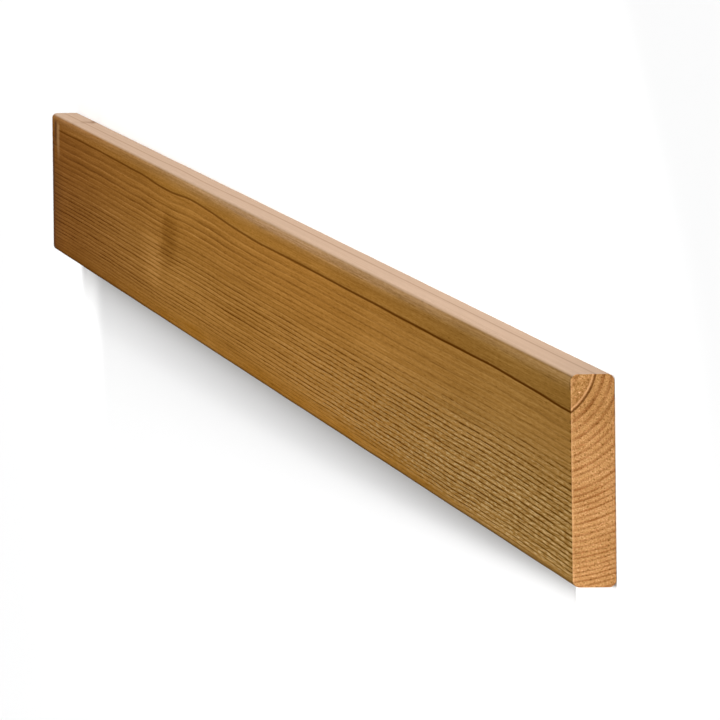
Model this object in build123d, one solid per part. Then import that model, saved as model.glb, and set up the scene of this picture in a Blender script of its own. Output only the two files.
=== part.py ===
from build123d import *

import os

# A planed softwood board, cut from one piece of timber, in millimetres.
# It lies flat on a wide face, with its length along X, its width along Y and its thickness along Z.
# The origin is at the middle of the lower wide face.

# Length between the two sawn ends
length = 4000
# Planed width, from one narrow edge to the other
width = 92
# Planed thickness, from one wide face to the other
thickness = 19
# Radius that the planer leaves on each of the four long arrises
arris_radius = 3


def planed_section():
    """The section that leaves the planer: a flat rectangle with rounded arrises, seen along the grain."""
    sawn_end = Plane.YZ.offset(-length / 2)
    on_the_lower_face = (Align.CENTER, Align.MIN)
    return sawn_end * RectangleRounded(width, thickness, arris_radius, align=on_the_lower_face)


def make_plank():
    """The section run along the grain, from one square sawn end to the other."""
    plank = extrude(planed_section(), amount=length)
    plank.label = "plank"
    return plank


os.makedirs("parts", exist_ok=True)
export_step(make_plank(), "parts/plank.step")
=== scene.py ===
"""The looks of a planed softwood plank that lies flat, with its growth rings, relief and sawn ends."""
import functools
import math

import bpy
import numpy as np
from bpy.props import FloatProperty, FloatVectorProperty, IntProperty, PointerProperty
from mathutils import Matrix, Vector


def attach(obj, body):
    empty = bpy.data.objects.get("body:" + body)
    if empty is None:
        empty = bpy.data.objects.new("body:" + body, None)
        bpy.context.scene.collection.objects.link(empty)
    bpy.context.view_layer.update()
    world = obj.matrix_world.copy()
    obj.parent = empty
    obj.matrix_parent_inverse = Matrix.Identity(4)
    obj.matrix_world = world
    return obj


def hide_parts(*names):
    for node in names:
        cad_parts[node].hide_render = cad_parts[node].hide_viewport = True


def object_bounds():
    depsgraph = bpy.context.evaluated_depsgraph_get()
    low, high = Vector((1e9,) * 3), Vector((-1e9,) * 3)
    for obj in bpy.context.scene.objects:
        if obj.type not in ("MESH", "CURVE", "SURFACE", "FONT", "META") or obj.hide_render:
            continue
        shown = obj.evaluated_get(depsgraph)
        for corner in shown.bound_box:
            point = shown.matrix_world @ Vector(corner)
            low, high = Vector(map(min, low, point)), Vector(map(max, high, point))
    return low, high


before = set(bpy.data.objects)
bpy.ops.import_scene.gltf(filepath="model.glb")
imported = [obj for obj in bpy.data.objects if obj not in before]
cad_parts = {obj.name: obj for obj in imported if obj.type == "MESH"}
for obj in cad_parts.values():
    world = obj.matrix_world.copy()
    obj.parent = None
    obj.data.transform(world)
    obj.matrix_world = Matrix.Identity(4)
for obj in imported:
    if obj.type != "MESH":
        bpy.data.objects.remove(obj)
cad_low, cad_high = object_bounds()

bl_info = {
    "name": "Planed softwood plank",
    "version": (1, 0, 0),
    "blender": (4, 5, 0),
    "location": "3D View > Sidebar > Plank",
    "description": "Makes a planed softwood plank with its growth rings, and a studio stage for it",
    "category": "Add Mesh",
}

MM = 0.001
LENGTH = cad_high.x - cad_low.x
WIDTH = cad_high.y - cad_low.y
THICKNESS = cad_high.z - cad_low.z
MIDDLE_Y = (cad_low.y + cad_high.y) / 2

# Layout of the surface map: its margins and the strip for the two sawn ends, as shares of its side
LAYOUT_MARGIN = 8 / 1024
ENDS_SHARE = 76 / 1024
# How the four long faces share out the rest of its height
RIGHT_EDGE_SHARE = 84
UPPER_FACE_SHARE = 430
LEFT_EDGE_SHARE = 110
LOWER_FACE_SHARE = 300

# Places along the plank, as shares of its length from the back end, where the rings change their run
RINGS_COME_DOWN = (0.33, 0.52)
RINGS_FALL_AWAY = (0.88, 1.02)
# How far along the plank the rings dip on both sides of the buried knot, as a share of its length
KNOT_REACH = 0.040
# What is left of the rings' rise and dip far from the left edge
LASTING_WANDER = 0.12
# Slow and quick wandering of the rings: how far it goes, and how long and wide its waves are
WANDERINGS = ((0.22 * MM, 1.1, 0.25), (0.09 * MM, 0.30, 0.06))
# Falls over which the centre of the rings moves towards the upper face
FLATTENING_FALLS = (20 * MM, 70 * MM)
# Parts of a ring over which its wood hardens and softens again, on the mesh
HARDENING = (0.45, 0.88)
SOFTENING = (0.96, 1.0)

# Distances from a sawn end at which the mesh has stations
END_STATIONS = np.array([0.0, 0.6, 1.6, 4.0, 10.0]) * MM
# Distance between the saw's waves on an end, and how far their lines are turned, in radians
SAW_MARK_PITCH = 2.6 * MM
SAW_TURN = 0.5
SMOOTH_ANGLE = math.radians(50)
FLOOR_GAP = 0.1 * MM

# The range that nearly all values of a noise lie in
NOISE_RANGE = (0.28, 0.72)
# How strongly a change of tone acts on red, green and blue, so that darker wood is also stronger in colour
TONE_STRENGTHS = (1.0, 1.25, 2.0)

SENSOR_WIDTH = 36.0
FILL_SIZE = (0.30, 0.12)
FRONT_FILL_PLACE = (cad_high.x - 0.05, cad_low.y - 0.0605, 0.15)
FRONT_FILL_SPREAD = math.radians(3)
BACK_FILL_PLACE = (cad_low.x + 0.03, cad_low.y - 0.080, 0.50)
BACK_FILL_SPREAD = math.radians(20)


def a_length(name, description, default, **limits):
    """A length that the user can set."""
    return FloatProperty(name=name, description=description, default=default, unit="LENGTH", **limits)


def a_number(name, description, default, **settings):
    """A power, strength or share that the user can set, from nothing upwards."""
    return FloatProperty(name=name, description=description, default=default, min=0.0, **settings)


def a_colour(name, description, default):
    """A colour that the user can set."""
    return FloatVectorProperty(
        name=name, description=description, subtype="COLOR", default=default, min=0.0, max=1.0)


class PlankSurface(bpy.types.PropertyGroup):
    """Sizes of the planed and sawn surfaces."""

    arris_radius: a_length(
        "Arris radius", "Radius of the rounding along the four long arrises", 3.0 * MM, min=0.0)
    earlywood_depth: a_length(
        "Earlywood depth", "How far the soft part of a ring lies below its hard part on a planed face",
        0.11 * MM, min=0.0)
    end_grain_depth: a_length(
        "End grain depth", "How far the soft part of a ring lies below its hard part on a sawn end",
        0.08 * MM, min=0.0)
    saw_mark_depth: a_length(
        "Saw mark depth", "Depth of the shallow waves that the saw leaves on an end", 0.09 * MM, min=0.0)
    chip_depth: a_length(
        "Chip depth", "How far the rim of a sawn end is broken back at its worst places",
        0.45 * MM, min=0.0)
    arris_wear: a_length(
        "Arris wear", "How unevenly the long arrises are rubbed down", 0.12 * MM, min=0.0)
    steps_across: IntProperty(
        name="Steps across", description="Mesh steps across a wide face, from one arris to the other",
        default=300, min=8)
    steps_through: IntProperty(
        name="Steps through", description="Mesh steps through the thickness, from one arris to the other",
        default=32, min=4)
    stations: IntProperty(
        name="Stations", description="Mesh stations along the plank between its two ends",
        default=118, min=12)


class PlankGrowth(bpy.types.PropertyGroup):
    """Where the tree's growth rings lie. Depths run from the upper face, and falls from the left edge."""

    pith_rise: a_length(
        "Pith rise", "How far the tree's centre lies beyond the left edge", 8.0 * MM)
    pith_height: a_length(
        "Pith height", "How far the tree's centre lies above the upper face", 16.0 * MM)
    ring_flattening: a_length(
        "Ring flattening", "How much nearer the upper face the centre of the outer rings lies", 5.0 * MM)
    dark_ring_radius: a_length(
        "Dark ring radius", "Radius of the one dark ring, from the tree's centre", 27.6 * MM, min=0.001)
    core_rings: IntProperty(
        name="Core rings",
        description="Number of broad rings from the tree's centre up to the dark line that ends the last",
        default=4, min=1)
    broad_ring: a_length(
        "Broad ring", "Width of the ring that follows the dark one", 4.2 * MM, min=0.001)
    inner_ring: a_length(
        "Inner ring", "Width of the rings that follow the broad one", 3.35 * MM, min=0.0005)
    outer_ring: a_length(
        "Outer ring", "Width that the rings narrow down to, far from the tree's centre",
        2.06 * MM, min=0.0005)
    narrowing: a_length(
        "Narrowing", "Distance over which the rings have narrowed by about two thirds of the way",
        25.0 * MM, min=0.001)
    ring_unevenness: a_number(
        "Ring unevenness", "How much a ring's width varies from its neighbour's, as a share",
        0.16, max=0.5, subtype="FACTOR")
    far_rise: a_length(
        "Far rise", "How much nearer the left edge the rings run in the back part of the plank", 4.7 * MM)
    near_fall: a_length(
        "Near fall", "How much the rings fall away from the left edge at the front end", 2.7 * MM)
    knot_dip: a_length("Knot dip", "How far the rings dip beside the buried knot", 2.3 * MM)
    knot_place: a_number(
        "Knot place", "Where the buried knot lies, as a share of the length from the back end",
        0.31, max=1.0, subtype="FACTOR")
    wander_depth: a_length(
        "Wander depth",
        "How far from the left edge the rings wander in full, and over how much more they straighten",
        13.0 * MM, min=0.001)
    seed: IntProperty(
        name="Seed", description="Seed for the ring widths and the wandering of the grain", default=7)


class PlankColours(bpy.types.PropertyGroup):
    """Colours of the planed faces, the narrow edges and the sawn ends."""

    # Darkest at the back end: partly the wood's own tone, partly painted shade of light that falls off
    # along the plank.
    back_wood_and_shade: a_colour(
        "Back wood", "Wide faces at the back end, where the wood is darkest", (0.178, 0.069, 0.0142))
    middle_wood: a_colour(
        "Middle wood", "Wide faces at the middle of the length", (0.288, 0.134, 0.0275))
    front_wood: a_colour("Front wood", "Wide faces at the front end", (0.174, 0.091, 0.0225))
    latewood_tint: a_colour(
        "Latewood tint", "What is left of each face colour in the hard part of a ring", (0.34, 0.25, 0.11))
    core_tint: a_colour(
        "Core tint", "What is left of each face colour inside the dark ring", (0.93, 0.93, 0.80))
    high_tint: a_colour(
        "High tint", "What is left of each face colour between the dark ring and the middle",
        (0.98, 0.94, 0.86))
    rim_tint: a_colour(
        "Right edge tint", "What is left of each face colour in the warm patches by the right edge",
        (0.86, 0.78, 0.48))
    # Painted highlight on the raised fibres between the ring lines.
    fibre_highlight_colour: a_colour(
        "Torn fibre", "Pale raised fibres between the ring lines in the front part", (0.305, 0.200, 0.0800))
    # Dark marks near the back end; also the painted shade along the back end's rim.
    dark_mark_and_shade: a_colour("Stain", "Dark handling marks near the back end", (0.085, 0.034, 0.012))
    # Painted sheen: the greyer, paler colour that the wide faces fade to along the left arris.
    arris_sheen: a_colour(
        "Worn arris", "Greyer wood that the wide faces fade to along the left arris", (0.205, 0.140, 0.083))
    # Pale strip across the wide faces near the back end.
    back_pale_strip: a_colour("Worn strip", "Pale worn strip near the back end", (0.300, 0.165, 0.0650))
    dark_ring: a_colour(
        "Dark ring", "The one dark resinous ring line on the planed faces", (0.085, 0.025, 0.0006))
    end_dark_ring: a_colour(
        "End dark ring", "The dark resinous ring line on the sawn ends", (0.085, 0.026, 0.0020))
    end_rim: a_colour(
        "End rim", "Pale broken fibres along the upper rim of a sawn end and inside its dark ring",
        (0.470, 0.255, 0.1080))
    # Wood of the narrow edges, made pale and grey by painted sheen.
    edge_wood_and_sheen: a_colour("Edge wood", "Pale wood of the narrow edges", (0.280, 0.197, 0.140))
    edge_line: a_colour(
        "Edge line", "Ring lines and streaks on the narrow edges", (0.200, 0.125, 0.080))
    end_wood: a_colour("End wood", "Soft part of a ring on the sawn ends", (0.345, 0.180, 0.0640))
    end_line: a_colour("End line", "Hard part of a ring on the sawn ends", (0.205, 0.080, 0.0200))
    end_fleck: a_colour("End fleck", "Reddish flecks on the sawn ends", (0.300, 0.112, 0.0350))


class PlankStudio(bpy.types.PropertyGroup):
    """The floor, the light and the camera."""

    floor_colour: a_colour("Floor", "Colour of the studio floor", (0.90, 0.90, 0.90))
    floor_size: a_length("Floor size", "Side of the square floor", 400.0, min=1.0)
    strip_power: a_number(
        "Strip power", "Power of the strip light that hangs on the left, in watts", 10.5)
    strip_width: a_length("Strip width", "Width of the strip light", 0.04, min=0.01)
    strip_back: FloatVectorProperty(
        name="Strip back end", description="Back end of the strip light, far to the left",
        subtype="TRANSLATION", unit="LENGTH", default=(-3.2, 1.72, 0.625))
    strip_front: FloatVectorProperty(
        name="Strip front end", description="Front end of the strip light, almost over the plank",
        subtype="TRANSLATION", unit="LENGTH", default=(2.25, 0.03, 0.245))
    front_fill: a_number(
        "Front fill", "Power of the narrow beam onto the floor beside the front end, in watts", 0.12)
    back_fill: a_number(
        "Back fill", "Power of the wider beam onto the floor beside the back end, in watts", 0.05)
    overhead_strength: a_number(
        "Overhead strength", "Strength of the white surroundings overhead", 0.27)
    horizon_strength: a_number(
        "Horizon strength", "Strength of the white surroundings at the horizon", 2.0)
    left_strength: a_number(
        "Left strength", "What the surroundings add on the side of the left edge", 3.0)
    right_share: a_number(
        "Right share", "What is left of the surroundings on the side of the right edge",
        0.41, max=1.0, subtype="FACTOR")
    front_strength: a_number(
        "Front strength", "What the surroundings add beyond the front end", 1.38)
    lens: FloatProperty(
        name="Lens", description="Focal length on a sensor 36 mm wide, in millimetres",
        default=814.15, min=1.0)
    camera_ahead: a_length("Camera ahead", "How far the camera stands beyond the front end", 6.968)
    camera_left: a_length(
        "Camera left", "How far the camera stands to the left of the plank's middle line", 0.3619)
    camera_height: a_length("Camera height", "Height of the camera above the floor", 0.6274)
    aim_ahead: a_length(
        "Aim ahead", "Where on the upper face the camera looks, ahead of the plank's middle", 0.7792)
    aim_left: a_length(
        "Aim left", "Where on the upper face the camera looks, left of the middle line", -0.0006)
    camera_roll: FloatProperty(
        name="Camera roll", description="Roll of the camera, which shows the left edge on top",
        default=math.radians(90.792), subtype="ANGLE", unit="ROTATION")


def smoothstep(low, high, value):
    """0 below low, 1 above high and a smooth rise between."""
    share = np.clip((value - low) / (high - low), 0.0, 1.0)
    return share * share * (3.0 - 2.0 * share)


def drift(along, across, length, width, seed, waves=5):
    """A smooth wandering between about -1 and 1, with features of about the given length and width."""
    rng = np.random.default_rng(seed)
    total = np.zeros(np.broadcast(along, across).shape)
    for _ in range(waves):
        turns_along = rng.uniform(0.5, 1.5) / length
        turns_across = rng.uniform(-1.0, 1.0) / width
        phase = rng.uniform(0.0, 1.0)
        total += np.sin(2 * math.pi * (along * turns_along + across * turns_across + phase))
    return total / math.sqrt(waves)


def ring_radii(growth, reach):
    """Radii of the growth rings from the tree's centre outwards, past the given reach."""
    rng = np.random.default_rng(growth.seed)
    radii = list(np.linspace(0.0, growth.dark_ring_radius, growth.core_rings + 1))
    radii.append(growth.dark_ring_radius + growth.broad_ring)
    start = radii[-1]
    while radii[-1] < reach:
        narrowed = 1.0 - math.exp((start - radii[-1]) / growth.narrowing)
        width = growth.inner_ring + (growth.outer_ring - growth.inner_ring) * narrowed
        radii.append(radii[-1] + width * (1.0 + growth.ring_unevenness * rng.uniform(-1.0, 1.0)))
    return np.array(radii)


def ring_number(x, y, z, growth):
    """The ring that each point lies in. Its fraction runs from the ring's soft start to its hard end."""
    share = (x - cad_low.x) / LENGTH
    fall = cad_high.y - y
    depth = cad_high.z - z
    wander = -growth.far_rise * (1.0 - smoothstep(*RINGS_COME_DOWN, share))
    wander = wander + growth.knot_dip * np.exp(-(((share - growth.knot_place) / KNOT_REACH) ** 2))
    straightened = np.exp(-np.maximum(fall - growth.wander_depth, 0.0) / growth.wander_depth)
    wander = wander * (LASTING_WANDER + (1.0 - LASTING_WANDER) * straightened)
    wander = wander + growth.near_fall * smoothstep(*RINGS_FALL_AWAY, share) * (1.0 - 0.3 * fall / WIDTH)
    for order, (reach, length, width) in enumerate(WANDERINGS, start=1):
        wander = wander + reach * drift(x, fall, length, width, growth.seed + order)
    fall = fall - wander
    pith_depth = growth.ring_flattening * smoothstep(*FLATTENING_FALLS, fall) - growth.pith_height
    radius = np.hypot(fall + growth.pith_rise, depth - pith_depth)
    radii = ring_radii(growth, 1.3 * (WIDTH + growth.pith_rise + growth.pith_height))
    return np.interp(radius, radii, np.arange(len(radii)))


def softness(number):
    """How soft the wood is at each ring number: 1 in earlywood and 0 in the hard latewood line."""
    phase = number - np.floor(number)
    return 1.0 - smoothstep(*HARDENING, phase) * (1.0 - smoothstep(*SOFTENING, phase))


def rib_strength(x, y):
    """How strongly the ribs of the grain stand out: most in the right half of the front part."""
    share = (x - cad_low.x) / LENGTH
    right_half = smoothstep(0.30, 0.68, (cad_high.y - y) / WIDTH)
    return 0.55 + 0.10 * right_half + 0.35 * right_half * smoothstep(0.35, 0.85, share)


def section_side(flat, radius, steps):
    """Places along one side of the section, from arris middle to arris middle: across, inwards and turn."""
    reach = (flat + math.pi * radius / 2) / 2
    run = np.linspace(-reach, reach, steps + 1)[:-1]
    turn = np.sign(run) * np.maximum(np.abs(run) - flat / 2, 0.0) / radius
    across = np.clip(run, -flat / 2, flat / 2) + radius * np.sin(turn)
    return across, radius * (1.0 - np.cos(turn)), turn


def section_outline(surface):
    """Points and outward normals once round the section, from the middle of the upper right arris."""
    radius = surface.arris_radius
    outline = []
    for quarter_turn, (flat, reach, steps) in enumerate([
        (WIDTH - 2 * radius, THICKNESS / 2, surface.steps_across),
        (THICKNESS - 2 * radius, WIDTH / 2, surface.steps_through),
    ] * 2):
        across, inwards, turn = section_side(flat, radius, steps)
        facing = math.pi / 2 - quarter_turn * math.pi / 2
        out = np.array([math.cos(facing), math.sin(facing)])
        along = np.array([math.sin(facing), -math.cos(facing)])
        points = np.outer(across, along) + np.outer(reach - inwards, out)
        normals = np.outer(np.sin(turn), along) + np.outer(np.cos(turn), out)
        outline.append(np.hstack([points, normals]))
    outline = np.vstack(outline)
    middle = np.array([MIDDLE_Y, (cad_low.z + cad_high.z) / 2])
    return outline[:, :2] + middle, outline[:, 2:]


def map_corners(corners):
    """The four corners of each face on the surface map, from four pairs of grids."""
    return np.stack([np.stack(corner, axis=-1) for corner in corners], axis=-2).reshape(-1, 4, 2)


def side_corners(stations, surface):
    """Layout corners of the long faces: the length runs across the map, and the section unrolls up it."""
    across, through = surface.steps_across, surface.steps_through
    around = 2 * (across + through)
    seam = 2 * across + through
    shares = [(RIGHT_EDGE_SHARE, through), (UPPER_FACE_SHARE, across),
              (LEFT_EDGE_SHARE, through), (LOWER_FACE_SHARE, across)]
    rises = np.concatenate([np.full(steps, share / steps) for share, steps in shares])
    up = np.concatenate([[0.0], np.cumsum(rises) / rises.sum()])
    base = 2 * LAYOUT_MARGIN + ENDS_SHARE
    up = base + up * (1.0 - LAYOUT_MARGIN - base)
    order = (np.arange(around) - seam) % around
    run = (stations - stations[0]) / (stations[-1] - stations[0])
    run = LAYOUT_MARGIN + run * (1.0 - 2 * LAYOUT_MARGIN)
    here, there = run[:-1, None] + 0 * order, run[1:, None] + 0 * order
    low, high = up[order] + 0 * here, up[order + 1] + 0 * here
    return map_corners([(here, low), (there, low), (there, high), (here, high)])


def end_corners(end, surface):
    """Layout corners of one sawn end. The two ends lie side by side along the foot of the map."""
    across, through = surface.steps_across, surface.steps_through
    wide = (1.0 - 3 * LAYOUT_MARGIN) / 2
    start = LAYOUT_MARGIN + end * (wide + LAYOUT_MARGIN)
    column, row = np.meshgrid(np.arange(across), np.arange(through))
    corners = []
    for right, down in ((0, 0), (1, 0), (1, 1), (0, 1)):
        u = start + (column + right) / across * wide
        v = LAYOUT_MARGIN + (row + down) / through * ENDS_SHARE
        corners.append((u, v))
    return map_corners(corners)


def station_places(stations):
    """Places along the plank for the rings of the mesh, closer together next to the sawn ends."""
    reach = END_STATIONS[-1]
    inner = np.linspace(reach, LENGTH - reach, stations - 2 * len(END_STATIONS) + 2)[1:-1]
    return cad_low.x + np.concatenate([END_STATIONS, inner, LENGTH - END_STATIONS[::-1]])


def loop_sides(loop, surface):
    """The four sides of a closed loop round the section, as the top, right, bottom and left of a grid."""
    across, through = surface.steps_across, surface.steps_through
    closed = np.concatenate([loop, loop[:1]])
    turns = np.cumsum([0, across, through, across, through])
    top, right, bottom, left = (closed[turns[side]:turns[side + 1] + 1] for side in range(4))
    return top, right, bottom[::-1], left[::-1]


def cap_grid(rim, surface):
    """The section filled with a grid whose rim is the given closed loop of points, blended inwards."""
    top, right, bottom, left = loop_sides(rim, surface)
    s = np.linspace(0.0, 1.0, surface.steps_across + 1)[None, :, None]
    t = np.linspace(0.0, 1.0, surface.steps_through + 1)[:, None, None]
    sides = (1 - t) * top[None] + t * bottom[None] + (1 - s) * left[:, None] + s * right[:, None]
    corner_part = (1 - t) * ((1 - s) * top[0] + s * top[-1]) + t * ((1 - s) * bottom[0] + s * bottom[-1])
    return sides - corner_part


def end_relief(y, z, number, end_sign, surface, seed):
    """How far each point of a sawn end lies back from the plane of the cut."""
    soft = softness(number) * surface.end_grain_depth
    saw_line = y * math.cos(SAW_TURN * end_sign) + z * math.sin(SAW_TURN * end_sign)
    unevenness = 2.0 * drift(y, z, 0.04, 0.03, seed)
    saw = 0.5 + 0.5 * np.sin(2 * math.pi * saw_line / SAW_MARK_PITCH + unevenness)
    return soft + saw * surface.saw_mark_depth


def rim_chips(points, number, surface, seed):
    """How far each point of an end's rim is broken back: most where a hard ring line meets it."""
    rough = drift(points[:, 0], points[:, 1], 0.0028, 0.0028, seed, waves=9)
    torn = smoothstep(0.2, 2.0, np.abs(rough) + 1.3 * (1.0 - softness(number)))
    return surface.chip_depth * (0.15 + 0.85 * torn)


def planed_sides(x, outline, normals, surface, growth):
    """Points and ring numbers of the long faces, cut inwards by the relief and the wear of the arrises."""
    y, z = outline[:, 0][None], outline[:, 1][None]
    number = ring_number(x, y, z, growth)
    edge_turn = np.abs(normals[:, 0])[None]
    rounding = 4.0 * edge_turn ** 2 * (1.0 - edge_turn ** 2)
    depth = surface.earlywood_depth * softness(number) * rib_strength(x, y) * (1.0 - 0.6 * edge_turn)
    worn = 0.5 + 0.5 * np.clip(drift(x, y, 0.35, 0.2, growth.seed + 5), -1, 1)
    depth = depth + surface.arris_wear * rounding * worn
    points = [np.broadcast_to(x, depth.shape), y - depth * normals[:, 0], z - depth * normals[:, 1]]
    return np.stack(points, axis=-1), number


def long_faces(stations, around):
    """Faces of the planed sides, as four vertex numbers each."""
    starts = np.arange(stations - 1)[:, None] * around
    here = np.arange(around)[None]
    after = (here + 1) % around
    quads = [starts + here, starts + around + here, starts + around + after, starts + after]
    return np.stack(quads, axis=-1).reshape(-1, 4)


def end_faces(loop, first_inside, surface):
    """Faces of a sawn end, from the vertex numbers of its rim and the first number inside it."""
    across, through = surface.steps_across, surface.steps_through
    index = np.full((through + 1, across + 1), -1)
    index[0, :], index[:, -1], index[-1, :], index[:, 0] = loop_sides(loop, surface)
    inside = np.arange((through - 1) * (across - 1)).reshape(through - 1, across - 1)
    index[1:-1, 1:-1] = first_inside + inside
    quads = [index[:-1, :-1], index[:-1, 1:], index[1:, 1:], index[1:, :-1]]
    return np.stack(quads, axis=-1).reshape(-1, 4)


def plank_mesh(surface, growth):
    """The planed board as one closed mesh, with its relief cut inwards from the CAD faces."""
    outline, normals = section_outline(surface)
    places = station_places(surface.stations)
    around = len(outline)
    side, number = planed_sides(places[:, None], outline, normals, surface, growth)
    vertices = [side.reshape(-1, 3)]
    faces = [long_faces(len(places), around)]
    corners = [side_corners(places, surface)]
    count = len(vertices[0])
    for end, sign in ((0, -1), (1, 1)):
        last = end * (len(places) - 1)
        rim = side[last, :, 1:]
        grid = cap_grid(rim, surface)
        y, z = grid[..., 0], grid[..., 1]
        cap_number = ring_number(np.full(y.shape, places[last]), y, z, growth)
        back = end_relief(y, z, cap_number, sign, surface, growth.seed + 20 + end)
        inside = np.dstack([places[last] - sign * back, grid])[1:-1, 1:-1].reshape(-1, 3)
        loop = last * around + np.arange(around)
        vertices[0][loop, 0] -= sign * rim_chips(rim, number[last], surface, growth.seed + 10 + end)
        turned = slice(None, None, sign)
        vertices.append(inside)
        faces.append(end_faces(loop, count, surface)[:, turned])
        corners.append(end_corners(end, surface)[:, turned])
        count += len(inside)

    planed_faces = len(faces[0])
    vertices, faces = np.vstack(vertices), np.vstack(faces)
    mesh = bpy.data.meshes.new("planed_board")
    mesh.from_pydata(vertices.tolist(), [], faces.tolist())
    layout = mesh.uv_layers.new(name="OFBake")
    layout.uv.foreach_set("vector", np.vstack(corners).astype(np.float32).ravel())
    mesh.update()
    mesh.shade_smooth()
    sawn = np.arange(len(faces)) >= planed_faces
    mesh.polygons.foreach_set("material_index", sawn.astype(np.int32))
    store(mesh, "ring_number", ring_number(*vertices.T, growth))
    edge_share = np.zeros(len(vertices))
    edge_share[:len(places) * around] = np.tile(np.abs(normals[:, 0]), len(places))
    store(mesh, "edge_share", edge_share)
    mesh.set_sharp_from_angle(angle=SMOOTH_ANGLE)
    return mesh


def store(mesh, name, values):
    """Keeps one number per vertex on the mesh, for the materials to read."""
    attribute = mesh.attributes.new(name, "FLOAT", "POINT")
    attribute.data.foreach_set("value", np.asarray(values, np.float32))


class Wiring:
    """Short ways to add and join nodes."""

    def __init__(self, tree):
        self.tree = tree
        tree.nodes.clear()

    def add(self, kind, **settings):
        node = self.tree.nodes.new(kind)
        for name, value in settings.items():
            setattr(node, name, value)
        return node

    def feed(self, socket, value):
        if isinstance(value, bpy.types.NodeSocket):
            self.tree.links.new(value, socket)
        else:
            socket.default_value = value

    def math(self, operation, first, second=0.0, clamp=False):
        node = self.add("ShaderNodeMath", operation=operation, use_clamp=clamp)
        self.feed(node.inputs[0], first)
        self.feed(node.inputs[1], second)
        return node.outputs[0]

    def total(self, *terms):
        """All the terms added up."""
        return functools.reduce(lambda first, second: self.math("ADD", first, second), terms)

    def product(self, *factors):
        """All the factors multiplied together."""
        return functools.reduce(lambda first, second: self.math("MULTIPLY", first, second), factors)

    def mix(self, factor, first, second, blend="MIX"):
        node = self.add("ShaderNodeMix", data_type="RGBA", blend_type=blend)
        self.feed(node.inputs["Factor"], factor)
        for socket, value in ((node.inputs[6], first), (node.inputs[7], second)):
            self.feed(socket, value if isinstance(value, bpy.types.NodeSocket) else (*value, 1.0))
        return node.outputs[2]

    def tinted(self, factor, colour, tint):
        """A colour with as much of the tint laid over it as the factor says."""
        return self.mix(factor, colour, self.mix(1.0, colour, tint, blend="MULTIPLY"))

    def remap(self, value, low, high, new_low=0.0, new_high=1.0, kind="LINEAR"):
        """A value between low and high as one between new_low and new_high."""
        node = self.add("ShaderNodeMapRange", interpolation_type=kind)
        for socket, number in zip(node.inputs, (value, low, high, new_low, new_high)):
            self.feed(socket, number)
        return node.outputs[0]

    def ease(self, value, low, high, new_low=0.0, new_high=1.0):
        """Like remap, with a smooth start and end."""
        return self.remap(value, low, high, new_low, new_high, kind="SMOOTHSTEP")

    def blend(self, share, off, on):
        """Off where the share is 0, on where it is 1, and in step between."""
        return self.remap(share, 0.0, 1.0, off, on)

    def hump(self, value, middle, width, full=0.0):
        """1 at the middle and as far from it as full says, and 0 a width away on both sides."""
        distance = self.math("ABSOLUTE", self.math("SUBTRACT", value, middle))
        return self.ease(distance, full, width, 1.0, 0.0)

    def between(self, value, start, full, fading, gone):
        """0 before start, 1 from full to fading, and 0 again once gone."""
        return self.product(self.ease(value, start, full), self.ease(value, fading, gone, 1.0, 0.0))

    def vectors(self, operation, first, second):
        node = self.add("ShaderNodeVectorMath", operation=operation)
        self.feed(node.inputs[0], first)
        self.feed(node.inputs["Scale" if operation == "SCALE" else 1], second)
        return node.outputs[0]

    def scaled(self, colour, amount):
        """A colour made lighter or darker by the given amount."""
        return self.vectors("SCALE", colour, amount)

    def toned(self, colour, amount):
        """A colour made darker and stronger, or lighter and greyer, by the given amount."""
        tint = self.add("ShaderNodeCombineXYZ")
        for axis, strength in zip("XYZ", TONE_STRENGTHS):
            self.feed(tint.inputs[axis], self.math("POWER", amount, strength))
        return self.vectors("MULTIPLY", colour, tint.outputs[0])

    def noise(self, vector, detail=2.0, roughness=0.5):
        node = self.add("ShaderNodeTexNoise", noise_dimensions="3D")
        settings = {"Vector": vector, "Scale": 1.0, "Detail": detail, "Roughness": roughness}
        for name, value in settings.items():
            self.feed(node.inputs[name], value)
        return node.outputs[0]

    def spread(self, noise, low, high):
        """A noise stretched so that it runs between about low and high."""
        return self.remap(noise, *NOISE_RANGE, low, high)


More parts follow.
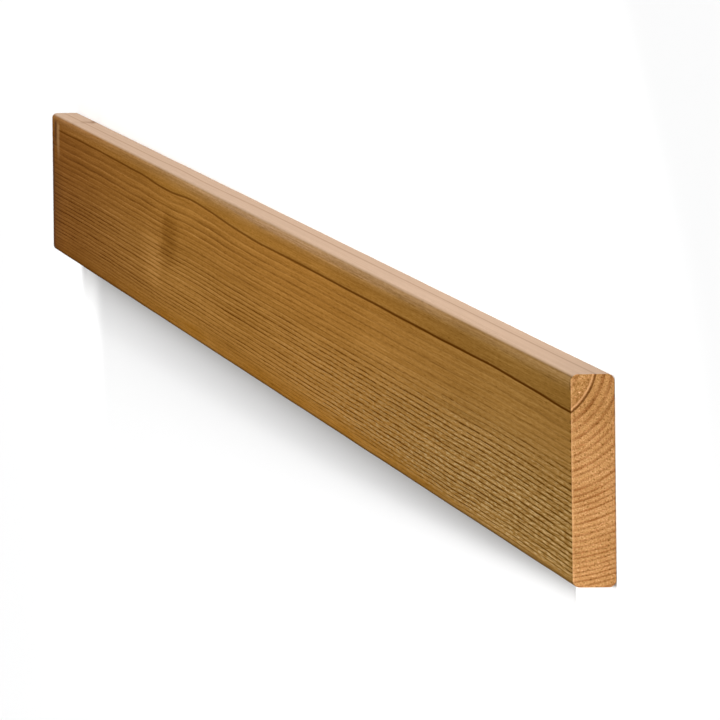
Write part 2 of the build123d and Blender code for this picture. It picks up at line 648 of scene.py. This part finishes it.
class TimberWiring(Wiring):
    """The nodes of a timber surface, which know where a point lies in the plank and its growth rings."""

    def __init__(self, tree):
        super().__init__(tree)
        self.point = self.add("ShaderNodeTexCoord").outputs["Object"]
        parts = self.add("ShaderNodeSeparateXYZ")
        self.feed(parts.inputs[0], self.point)
        self.along = parts.outputs["X"]
        self.height = parts.outputs["Z"]
        self.share = self.remap(self.along, cad_low.x, cad_high.x)
        self.fall = self.math("SUBTRACT", cad_high.y, parts.outputs["Y"])
        self.from_back = self.math("SUBTRACT", self.along, cad_low.x)
        self.from_front = self.math("SUBTRACT", cad_high.x, self.along)

    def read(self, name):
        """One of the numbers that the mesh keeps."""
        return self.add("ShaderNodeAttribute", attribute_name=name).outputs["Fac"]

    def grain(self, along, across, detail=2.0, roughness=0.5):
        """Noise with features of about the given length along the plank and width across it."""
        stretch = (1.0 / along, 1.0 / across, 1.0 / across)
        return self.noise(self.vectors("MULTIPLY", self.point, stretch), detail, roughness)

    def varied(self, along, across, low, high, detail=3.0):
        """Noise along the grain, as a factor between about low and high."""
        return self.spread(self.grain(along, across, detail, roughness=0.55), low, high)

    def ragged_rings(self, along, across, amount):
        """The ring number with the uneven edge that the fibres give a ring line."""
        noise = self.grain(along, across, detail=3.0)
        push = self.product(self.math("SUBTRACT", noise, 0.5), amount)
        return self.total(self.read("ring_number"), push)

    def latewood(self, number, start, full):
        """How dark the wood is within its ring: it deepens towards the ring's end and stops abruptly."""
        return self.between(self.math("FRACT", number), start, full, 0.95, 1.0)

    def core(self, number, growth):
        """1 inside the dark ring and 0 outside it."""
        return self.remap(number, growth.core_rings - 0.15, growth.core_rings + 0.05, 1.0, 0.0)

    def ring_dice(self, number, low, high):
        """A number between low and high that stays the same all through one ring."""
        node = self.add("ShaderNodeTexWhiteNoise", noise_dimensions="1D")
        self.feed(node.inputs["W"], self.math("FLOOR", number))
        return self.blend(node.outputs[0], low, high)

    def ring_fading(self, number, reach, low, high):
        """How each ring line fades and comes back along the plank, apart from its neighbours."""
        vector = self.add("ShaderNodeCombineXYZ")
        self.feed(vector.inputs["X"], self.math("DIVIDE", self.along, reach))
        self.feed(vector.inputs["Y"], self.product(self.math("FLOOR", number), 3.7))
        return self.remap(self.noise(vector.outputs[0]), 0.30, 0.68, low, high)


def new_material(name, wiring_kind=Wiring):
    """A material with an empty node tree and its principled shader wired to the output."""
    material = bpy.data.materials.new(name)
    material.use_nodes = True
    wiring = wiring_kind(material.node_tree)
    shader = wiring.add("ShaderNodeBsdfPrincipled")
    output = wiring.add("ShaderNodeOutputMaterial")
    wiring.feed(output.inputs["Surface"], shader.outputs["BSDF"])
    return material, wiring, shader


def finish_timber(wood, shader, colour, texture, roughness, specular, bump_strength, bump_height):
    """Feeds the shader its colour, and a roughness and a fine bump that follow the texture."""
    wood.feed(shader.inputs["Base Color"], colour)
    wood.feed(shader.inputs["Roughness"], wood.remap(texture, 0.2, 0.8, *roughness))
    shader.inputs["Specular IOR Level"].default_value = specular
    bump = wood.add("ShaderNodeBump")
    bump.inputs["Strength"].default_value = bump_strength
    bump.inputs["Distance"].default_value = bump_height
    wood.feed(bump.inputs["Height"], texture)
    wood.feed(shader.inputs["Normal"], bump.outputs[0])


def planed_rings(wood, growth):
    """Ring numbers of planed wood, how far it is latewood or core, and where painted highlights fall on
    raised fibres and ring starts.
    """
    number = wood.ragged_rings(0.10, 1.0 * MM, 0.22)
    core = wood.core(number, growth)
    each_ring = wood.product(wood.ring_dice(number, 0.5, 1.0), wood.ring_fading(number, 0.30, 0.5, 1.15))
    front = wood.ease(wood.share, 0.48, 0.78)
    low_part = wood.between(wood.fall, *(
        wood.remap(wood.share, start, 0.90, at_start * MM, at_front * MM)
        for start, at_start, at_front in ((0.45, 38, 30), (0.45, 64, 58), (0.60, 78, 84), (0.60, 88, 91))))
    band = wood.product(
        wood.latewood(number, 0.10, 0.80), each_ring,
        wood.remap(wood.fall, 18 * MM, 60 * MM, 0.40, 0.46),
        wood.remap(wood.fall, 76 * MM, 87 * MM, 1.0, 0.35),
        wood.blend(front, 1.0, 0.42))
    broken = wood.grain(0.030, 0.62 * MM, roughness=0.6)
    calm = wood.spread(broken, 0.25, 1.15)
    torn = wood.remap(broken, 0.38, 0.56, 0.05, 2.1)
    line = wood.product(
        wood.latewood(number, 0.62, 0.86), each_ring, wood.blend(front, calm, torn),
        wood.blend(low_part, wood.blend(front, 0.36, 0.12), 1.15))
    at_front_end = wood.ease(wood.from_front, 1 * MM, 10 * MM, 1.0, 0.0)
    notch = wood.product(wood.latewood(number, 0.50, 0.80), at_front_end, 0.7)
    late = wood.math("ADD", wood.total(band, line), notch, clamp=True)
    late = wood.product(late, wood.blend(core, 1.0, wood.remap(wood.share, 0.3, 0.8, 0.35, 0.85)))

    fibres = wood.grain(0.022, 0.46 * MM, roughness=0.6)
    # Painted highlights on the raised fibres between the ring lines in the front part.
    fibre_highlights = wood.product(
        wood.ease(fibres, 0.45, 0.60, 0.0, 0.80), low_part,
        wood.remap(wood.share, 0.50, 0.85),
        wood.blend(wood.latewood(number, 0.45, 0.70), 1.0, 0.0),
        wood.remap(wood.fall, 50 * MM, 76 * MM, 0.85, 1.55))
    # Painted highlights just after each hard ring line, where a ridge of the grain would catch the light.
    ring_start_highlights = wood.product(
        wood.between(wood.math("FRACT", number), 0.0, 0.06, 0.12, 0.30),
        wood.ring_dice(number, 0.1, 0.5),
        wood.varied(0.22, 1.0 * MM, 0.3, 1.1),
        wood.blend(core, 1.0, 0.0), wood.blend(front, 1.0, 0.3))
    return number, late, core, fibre_highlights, ring_start_highlights


def painted_knot_shade(wood, number, growth):
    """Painted light just before the buried knot and painted shade just behind it, as on a shallow fold
    where the fibres turn over it.
    """
    ragged = wood.spread(wood.grain(0.06, 0.8 * MM), -0.006, 0.006)
    slant = wood.product(wood.fall, 0.18)
    place = wood.total(wood.share, slant, ragged, wood.ring_dice(number, -0.004, 0.004))
    knot = growth.knot_place
    light = wood.product(
        wood.between(place, knot - 0.070, knot - 0.026, knot - 0.020, knot - 0.006),
        wood.between(wood.fall, 24 * MM, 54 * MM, 70 * MM, 82 * MM), 0.16)
    dark = wood.product(
        wood.between(place, knot - 0.012, knot + 0.002, knot + 0.010, knot + 0.040),
        wood.between(wood.fall, 18 * MM, 30 * MM, 46 * MM, 68 * MM),
        wood.varied(0.08, 0.8 * MM, 0.15, 0.28))
    return wood.total(wood.math("SUBTRACT", light, dark), 1.0)


def core_bands(wood, core):
    """In the front half, the pale band near the left arris and the dark one beside the dark ring."""
    pale = wood.between(wood.fall, 1.0 * MM, 3.0 * MM, 4.5 * MM, 6.0 * MM)
    fading, gone = (wood.remap(wood.share, 0.70, 0.92, *falls) for falls in (
        (8.5 * MM, 15 * MM), (12 * MM, 19 * MM)))
    dark = wood.between(wood.fall, 5.0 * MM, 6.8 * MM, fading, gone)
    strength = wood.product(core, wood.remap(wood.share, 0.30, 0.55, 0.0, 0.14))
    return wood.total(wood.product(wood.math("SUBTRACT", pale, dark), strength), 1.0)


def face_colour(wood, late, core, fibre_highlights, by_right_edge, colours):
    """The colour of the wide faces, from the back end to the front and from ring to ring. It holds painted
    shade towards the back end, painted highlights on raised fibres and painted sheen along the left arris.
    """
    # Darker towards the back end: partly the wood's own tone, partly painted shade.
    face = wood.mix(wood.remap(wood.share, 0.0, 0.34), colours.back_wood_and_shade, colours.middle_wood)
    face = wood.mix(wood.ease(wood.share, 0.55, 1.0), face, colours.front_wood)
    high_part = wood.product(wood.ease(wood.fall, 24 * MM, 56 * MM, 1.0, 0.0), wood.blend(core, 1.0, 0.35))
    face = wood.tinted(high_part, face, colours.high_tint)
    core_wood = wood.mix(1.0, face, colours.core_tint, blend="MULTIPLY")
    core_wood = wood.scaled(core_wood, wood.remap(wood.share, 0.15, 0.50, 1.18, 1.0))
    face = wood.mix(wood.product(core, wood.remap(wood.share, 0.3, 0.6, 1.0, 0.5)), face, core_wood)
    warm = wood.product(
        by_right_edge, wood.varied(0.18, 7 * MM, 0.1, 1.2),
        wood.blend(wood.between(wood.share, 0.0, 0.35, 0.77, 0.88), 0.25, 1.0))
    face = wood.tinted(warm, face, colours.rim_tint)
    face = wood.tinted(late, face, colours.latewood_tint)
    # Painted highlights on the raised fibres.
    face = wood.mix(fibre_highlights, face, colours.fibre_highlight_colour)
    middle = wood.between(wood.share, 0.05, 0.45, 0.65, 0.95)
    # Painted sheen along the left arris, where the pale narrow edge turns into the wide face.
    by_left_edge = wood.math("POWER", wood.remap(wood.fall, 0.0, 11 * MM, 0.86, 0.0), 2.0)
    by_left_edge = wood.product(by_left_edge, wood.blend(middle, 0.44, 1.0))
    return wood.mix(by_left_edge, face, wood.scaled(colours.arris_sheen, wood.blend(middle, 0.78, 1.12)))


def face_tone(wood, number, core, ring_start_highlights, by_right_edge, fibre, growth):
    """How much lighter or darker the wide faces are from place to place."""
    canals = wood.grain(0.035, 0.55 * MM, detail=1.0)
    pale_patch = wood.product(
        wood.between(wood.share, 0.10, 0.22, 0.36, 0.50),
        wood.between(wood.fall, 50 * MM, 60 * MM, 66 * MM, 77 * MM))
    return wood.product(
        wood.spread(fibre, 0.88, 1.12),
        wood.varied(0.020, 0.9 * MM, 0.88, 1.12),
        wood.varied(0.35, 0.8 * MM, 0.86, 1.14),
        wood.varied(0.7, 3.0 * MM, 0.92, 1.08),
        wood.varied(0.5, 30 * MM, 0.95, 1.05, detail=1.0),
        wood.ring_dice(number, 0.97, 1.03),
        wood.ease(canals, 0.66, 0.76, 1.0, 0.72),
        # Painted highlights at the ring starts.
        wood.blend(ring_start_highlights, 1.0, 1.45),
        wood.blend(by_right_edge, 1.0, wood.remap(wood.share, 0.03, 0.16, 0.80, 0.95)),
        wood.blend(by_right_edge, 1.0, wood.remap(wood.share, 0.78, 0.90, 1.0, 1.10)),
        wood.blend(pale_patch, 1.0, 1.09),
        painted_knot_shade(wood, number, growth),
        core_bands(wood, core))


def back_end_marks(wood, face, colours):
    """Painted shade along the back end's rim, a darkening towards that end, and the dark patch and the pale
    strip beside it at the back end of a wide face.
    """
    # Painted shade along the rim of the back end.
    rim = wood.product(
        wood.ease(wood.from_back, 16 * MM, 32 * MM, 0.85, 0.0), wood.remap(wood.fall, 12 * MM, 20 * MM))
    # Darker towards the back end.
    dusk = wood.product(
        wood.ease(wood.from_back, 20 * MM, 150 * MM, 0.34, 0.0), wood.remap(wood.fall, 20 * MM, 45 * MM))
    place = wood.total(wood.from_back, wood.product(wood.grain(0.4, 4 * MM, detail=3.0), 26 * MM))
    patch = wood.product(
        wood.hump(place, 54 * MM, 26 * MM),
        wood.between(wood.fall, 2 * MM, 6 * MM, 14 * MM, 24 * MM), 0.92)
    strip = wood.product(
        wood.hump(place, 82 * MM, 26 * MM),
        wood.between(wood.fall, 3 * MM, 7 * MM, 16 * MM, 34 * MM), wood.varied(0.5, 5 * MM, 0.55, 1.0))
    for mark in (rim, dusk, patch):
        face = wood.mix(mark, face, colours.dark_mark_and_shade)
    return wood.mix(strip, face, colours.back_pale_strip)


def narrow_edge(wood, late, fibre, colours):
    """Planed wood of the narrow edges, made pale by painted sheen, with faint streaks and a soft cross mark
    near the back end.
    """
    streaks = wood.grain(0.6, 0.9 * MM, detail=3.0)
    edge = wood.mix(wood.product(late, 0.25), colours.edge_wood_and_sheen, colours.edge_line)
    edge = wood.mix(wood.remap(streaks, 0.50, 0.74, 0.0, 0.32), edge, colours.edge_line)
    tone = wood.product(
        wood.spread(fibre, 0.97, 1.03), wood.varied(0.9, 4 * MM, 0.97, 1.03),
        wood.remap(wood.share, 0.45, 1.0, 1.0, 0.90))
    place = wood.total(wood.from_back, wood.product(wood.grain(0.3, 5 * MM), 70 * MM))
    mark = wood.product(
        wood.hump(place, 255 * MM, 36 * MM), wood.remap(wood.height, 2 * MM, 13 * MM, 0.75, 0.10))
    return wood.mix(mark, wood.scaled(edge, tone), colours.dark_mark_and_shade)


def dark_ring_line(wood, colour, edge, colours, growth):
    """The one dark ring, laid over the planed surface. On the wide faces it stops short of the back end."""
    steady = wood.ragged_rings(0.10, 1.1 * MM, 0.05)
    on_face = wood.product(
        wood.ease(wood.from_back, 60 * MM, 110 * MM), wood.remap(wood.share, 0.50, 0.80, 0.72, 1.0))
    line = wood.product(
        wood.hump(steady, growth.core_rings - 0.02, 0.14, full=0.040), wood.blend(edge, on_face, 0.28))
    dark_ring = wood.scaled(colours.dark_ring, wood.remap(wood.share, 0.55, 0.95, 1.0, 0.55))
    return wood.mix(line, colour, dark_ring)


def planed_material(colours, growth):
    """Planed long grain of the wide faces and the narrow edges."""
    material, wood, shader = new_material("planed_timber", TimberWiring)
    turn = wood.read("edge_share")
    edge = wood.ease(turn, 0.50, 0.97)
    by_right_edge = wood.ease(wood.fall, WIDTH - 13 * MM, WIDTH - 4 * MM)
    fibre = wood.grain(0.09, 0.35 * MM, detail=3.0, roughness=0.6)
    number, late, core, fibre_highlights, ring_start_highlights = planed_rings(wood, growth)

    face = face_colour(wood, late, core, fibre_highlights, by_right_edge, colours)
    face = wood.toned(face, face_tone(wood, number, core, ring_start_highlights, by_right_edge, fibre, growth))
    # Painted shade on the rounded arrises: the wide faces darken as they turn towards the narrow edges.
    face = wood.scaled(face, wood.remap(turn, 0.05, 0.60, 1.0, 0.72))
    face = back_end_marks(wood, face, colours)
    colour = wood.mix(edge, face, narrow_edge(wood, late, fibre, colours))
    colour = dark_ring_line(wood, colour, edge, colours, growth)
    finish_timber(wood, shader, colour, fibre, (0.62, 0.80), 0.0, 0.6, 0.06 * MM)
    return material


def end_grain_material(colours, growth):
    """Sawn end grain, with its rings, pores and short broken fibres."""
    material, wood, shader = new_material("sawn_end_grain", TimberWiring)
    number = wood.ragged_rings(1.0 * MM, 0.6 * MM, 0.26)
    core = wood.core(number, growth)
    inner_rings = wood.product(
        wood.remap(number, growth.core_rings + 1.0, growth.core_rings + 1.4, 1.7, 0.8),
        wood.remap(number, growth.core_rings + 4.0, growth.core_rings + 9.0, 1.0, 1.35))
    late = wood.product(
        wood.latewood(number, 0.40, 0.80), wood.ring_dice(number, 0.5, 1.1),
        wood.varied(7 * MM, 7 * MM, 0.5, 1.3), inner_rings, wood.blend(core, 1.0, 0.3))
    flecks = wood.grain(0.8 * MM, 0.8 * MM, roughness=0.6)
    speckle = wood.grain(0.6 * MM, 0.6 * MM, roughness=0.6)
    pores = wood.grain(0.9 * MM, 0.9 * MM, detail=1.0)
    colour = wood.mix(wood.math("MINIMUM", late, 1.2), colours.end_wood, colours.end_line)
    colour = wood.mix(wood.ease(flecks, 0.54, 0.66, 0.0, 0.55), colour, colours.end_fleck)
    colour = wood.toned(colour, wood.product(
        wood.spread(speckle, 0.70, 1.30),
        wood.ease(pores, 0.60, 0.70, 1.0, 0.55),
        wood.ease(pores, 0.28, 0.38, 1.30, 1.0),
        wood.varied(9 * MM, 9 * MM, 0.92, 1.08),
        wood.remap(wood.fall, 12 * MM, 32 * MM, 0.84, 1.0),
        wood.blend(core, 1.0, wood.varied(1.5 * MM, 1.5 * MM, 0.66, 1.36, detail=2.0))))

    below_top = wood.math("SUBTRACT", cad_high.z, wood.height)
    rim = wood.product(
        wood.ease(below_top, 0.3 * MM, 1.3 * MM, 1.0, 0.0), wood.varied(1.3 * MM, 1.3 * MM, 0.0, 0.9))
    colour = wood.mix(rim, colour, colours.end_rim)
    steady = wood.ragged_rings(1.0 * MM, 1.0 * MM, 0.10)
    inner_line = wood.product(wood.hump(steady, growth.core_rings - 0.19, 0.09), 0.7)
    colour = wood.mix(inner_line, colour, colours.end_rim)
    dark_line = wood.product(
        wood.hump(steady, growth.core_rings - 0.03, 0.12, full=0.03),
        wood.varied(3 * MM, 3 * MM, 0.72, 1.0))
    colour = wood.mix(dark_line, colour, colours.end_dark_ring)
    finish_timber(wood, shader, colour, speckle, (0.75, 0.92), 0.10, 0.8, 0.14 * MM)
    return material


def add_object(scene, name, data):
    """A new object in the scene, unmoved and unturned."""
    thing = bpy.data.objects.new(name, data)
    scene.collection.objects.link(thing)
    return thing


class PLANK_OT_make_board(bpy.types.Operator):
    """Makes the planed board with its relief and materials, in place of the plain solid"""

    bl_idname = "plank.make_board"
    bl_label = "Make the board"

    def execute(self, context):
        scene = context.scene
        mesh = plank_mesh(scene.plank_surface, scene.plank_growth)
        for make_material in (planed_material, end_grain_material):
            mesh.materials.append(make_material(scene.plank_colours, scene.plank_growth))
        board = add_object(scene, "planed_board", mesh)
        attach(board, "root")
        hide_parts("plank")
        return {"FINISHED"}


def make_floor(scene, studio):
    """The plain pale floor, a hair below the plank."""
    half = studio.floor_size / 2
    corners = [(x * half, y * half, -FLOOR_GAP) for x, y in ((-1, -1), (1, -1), (1, 1), (-1, 1))]
    mesh = bpy.data.meshes.new("studio_floor")
    mesh.from_pydata(corners, [], [(0, 1, 2, 3)])
    material, _, shader = new_material("floor_paint")
    shader.inputs["Base Color"].default_value = (*studio.floor_colour, 1.0)
    shader.inputs["Roughness"].default_value = 0.9
    shader.inputs["Specular IOR Level"].default_value = 0.0
    mesh.materials.append(material)
    add_object(scene, "studio_floor", mesh)


def add_light(scene, name, place, size, power, spread=math.pi):
    """A rectangular light that shines straight down, and that the camera doesn't see."""
    lamp = bpy.data.lights.new(name, "AREA")
    lamp.shape = "RECTANGLE"
    lamp.size, lamp.size_y = size
    lamp.energy = power
    lamp.spread = spread
    light = add_object(scene, name, lamp)
    light.visible_camera = False
    light.location = place
    return light


def make_strip_light(scene, studio):
    """One long soft strip light along a line in the air, turned round that line to face the plank."""
    back, front = Vector(studio.strip_back), Vector(studio.strip_front)
    middle = (back + front) / 2
    run = (front - back).normalized()
    facing = Vector((middle.x, MIDDLE_Y, cad_high.z)) - middle
    facing = (facing - run * facing.dot(run)).normalized()
    size = ((front - back).length, studio.strip_width)
    light = add_light(scene, "strip_light", middle, size, studio.strip_power)
    light.rotation_mode = "QUATERNION"
    light.rotation_quaternion = Matrix((run, run.cross(facing), -facing)).transposed().to_quaternion()


def make_floor_fill(scene, studio):
    """Light on the floor by the right edge, so that the plank's shadow fades out towards its two ends."""
    add_light(scene, "front_fill", FRONT_FILL_PLACE, FILL_SIZE, studio.front_fill, FRONT_FILL_SPREAD)
    add_light(scene, "back_fill", BACK_FILL_PLACE, FILL_SIZE, studio.back_fill, BACK_FILL_SPREAD)


def make_surroundings(scene, studio):
    """White surroundings, dim overhead and brightest beyond the left edge and the front end."""
    world = bpy.data.worlds.new("white_surroundings")
    world.use_nodes = True
    scene.world = world
    wiring = Wiring(world.node_tree)
    output = wiring.add("ShaderNodeOutputWorld")
    background = wiring.add("ShaderNodeBackground")
    parts = wiring.add("ShaderNodeSeparateXYZ")
    wiring.feed(parts.inputs[0], wiring.add("ShaderNodeTexCoord").outputs["Generated"])
    forward, leftward, upward = parts.outputs
    around = wiring.product(
        wiring.ease(upward, 0.05, 0.60, studio.horizon_strength, studio.overhead_strength),
        wiring.ease(leftward, -0.60, 0.10, studio.right_share, 1.0))
    left = wiring.ease(leftward, 0.20, 0.90, 0.0, studio.left_strength)
    front = wiring.ease(forward, 0.30, 0.95, 0.0, studio.front_strength)
    wiring.feed(background.inputs["Strength"], wiring.total(around, left, front))
    background.inputs["Color"].default_value = (1.0, 1.0, 1.0, 1.0)
    wiring.feed(output.inputs["Surface"], background.outputs[0])


def make_camera(scene, studio):
    """The camera, far ahead of the front end and rolled so that the left edge shows on top."""
    data = bpy.data.cameras.new("main_camera")
    data.sensor_width = SENSOR_WIDTH
    data.lens = studio.lens
    data.clip_start = 0.1
    data.clip_end = studio.floor_size
    camera = add_object(scene, "main_camera", data)
    place = Vector((cad_high.x + studio.camera_ahead, studio.camera_left, studio.camera_height))
    aim = Vector((studio.aim_ahead, studio.aim_left, cad_high.z))
    forward = (aim - place).normalized()
    side = forward.cross(Vector((0.0, 0.0, 1.0))).normalized()
    level = Matrix((side, side.cross(forward), -forward)).transposed()
    camera.rotation_mode = "QUATERNION"
    camera.rotation_quaternion = (Matrix.Rotation(studio.camera_roll, 3, forward) @ level).to_quaternion()
    camera.location = place
    scene.camera = camera


class PLANK_OT_make_stage(bpy.types.Operator):
    """Makes the floor, the lights, the surroundings and the camera"""

    bl_idname = "plank.make_stage"
    bl_label = "Make the stage"

    def execute(self, context):
        scene = context.scene
        for make in (make_floor, make_strip_light, make_floor_fill, make_surroundings, make_camera):
            make(scene, scene.plank_studio)
        scene.view_settings.view_transform = "Standard"
        return {"FINISHED"}


class PLANK_PT_sidebar(bpy.types.Panel):
    """Lists the plank's settings and the two steps that make it and its stage"""

    bl_idname = "PLANK_PT_sidebar"
    bl_label = "Planed plank"
    bl_space_type = "VIEW_3D"
    bl_region_type = "UI"
    bl_category = "Plank"

    def draw(self, context):
        layout = self.layout
        layout.operator(PLANK_OT_make_board.bl_idname)
        layout.operator(PLANK_OT_make_stage.bl_idname)
        for name in SETTINGS:
            group = getattr(context.scene, name)
            box = layout.box()
            for field in group.__annotations__:
                box.prop(group, field)


SETTINGS = {
    "plank_surface": PlankSurface,
    "plank_growth": PlankGrowth,
    "plank_colours": PlankColours,
    "plank_studio": PlankStudio,
}
CLASSES = (*SETTINGS.values(), PLANK_OT_make_board, PLANK_OT_make_stage, PLANK_PT_sidebar)


def register():
    for cls in CLASSES:
        bpy.utils.register_class(cls)
    for name, group in SETTINGS.items():
        setattr(bpy.types.Scene, name, PointerProperty(type=group))


def unregister():
    for name in SETTINGS:
        delattr(bpy.types.Scene, name)
    for cls in reversed(CLASSES):
        bpy.utils.unregister_class(cls)


def main():
    register()
    bpy.ops.plank.make_board()
    bpy.ops.plank.make_stage()


if __name__ == "__main__":
    main()
